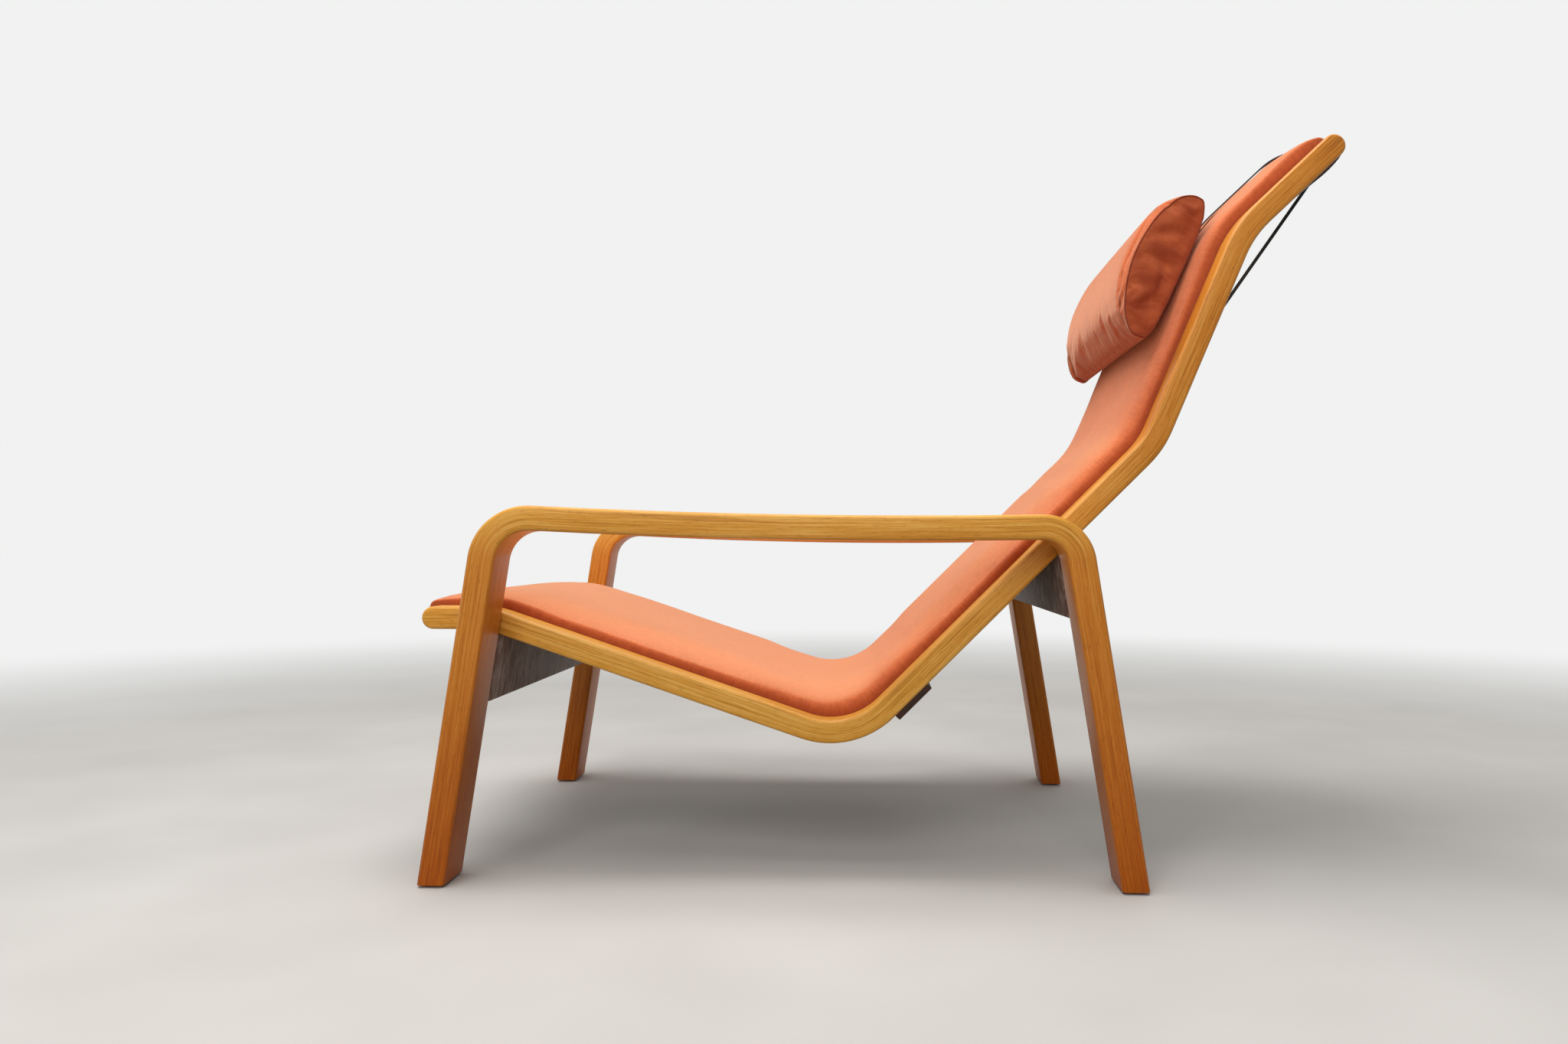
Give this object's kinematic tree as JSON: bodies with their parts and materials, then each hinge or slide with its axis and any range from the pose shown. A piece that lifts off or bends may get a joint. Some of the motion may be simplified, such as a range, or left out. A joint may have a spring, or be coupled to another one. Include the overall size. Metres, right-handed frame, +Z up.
{
  "type": "lounge chair",
  "caption": "High-back lounge chair with bentwood arm frames, a zigzag rail seat and back, a padded coral cover and a head pillow on leather straps.",
  "frame": {"origin": "on the floor, under the middle of the chair's width and length", "axes": "-Y is the way the sitter faces, +Z is up, +X is the sitter's left"},
  "size_m": [0.654, 1.175, 0.9438],
  "materials": {
    "honey_beech": "satin clear varnish",
    "dark_board": "dull dark stain",
    "pale_dowel": "raw",
    "zinc_steel": "satin",
    "black_nylon": "matt",
    "black_webbing": "woven",
    "cream_cotton": "plain weave",
    "foam": "matt",
    "coral_wool": "fine plain weave",
    "dark_piping": "corded",
    "black_leather": "smooth"
  },
  "bodies": {
    "chair": {"arm_frame_left": "honey_beech", "arm_frame_right": "honey_beech", "front_board": "dark_board", "rear_board": "dark_board", "board_dowels": "pale_dowel", "floor_glides": "zinc_steel", "pad_rail_left": "honey_beech", "pad_rail_right": "honey_beech", "lower_slat": "dark_board", "strap_slat": "dark_board", "top_slat": "dark_board", "slat_dowels": "pale_dowel", "frame_bolts": "zinc_steel", "bolt_spacers": "black_nylon", "leg_inserts": "zinc_steel", "slat_screws": "zinc_steel", "seat_webbing": "black_webbing", "back_webbing": "black_webbing", "webbing_clips": "zinc_steel", "pad_lining": "cream_cotton", "pad_foam": "foam", "pad_cover": "coral_wool", "strap_left": "black_leather", "strap_right": "black_leather", "strap_studs": "zinc_steel"},
    "pillow": {"pillow_cover": "coral_wool", "pillow_filling": "foam", "pillow_loops": "dark_piping", "pillow_piping": "dark_piping"}
  },
  "joints": [
    {"name": "pillow_slide", "type": "slide", "parent": "chair", "child": "pillow", "axis": [0, 0.3843, 0.9232], "range_m": [-0.045, 0.015]}
  ]
}
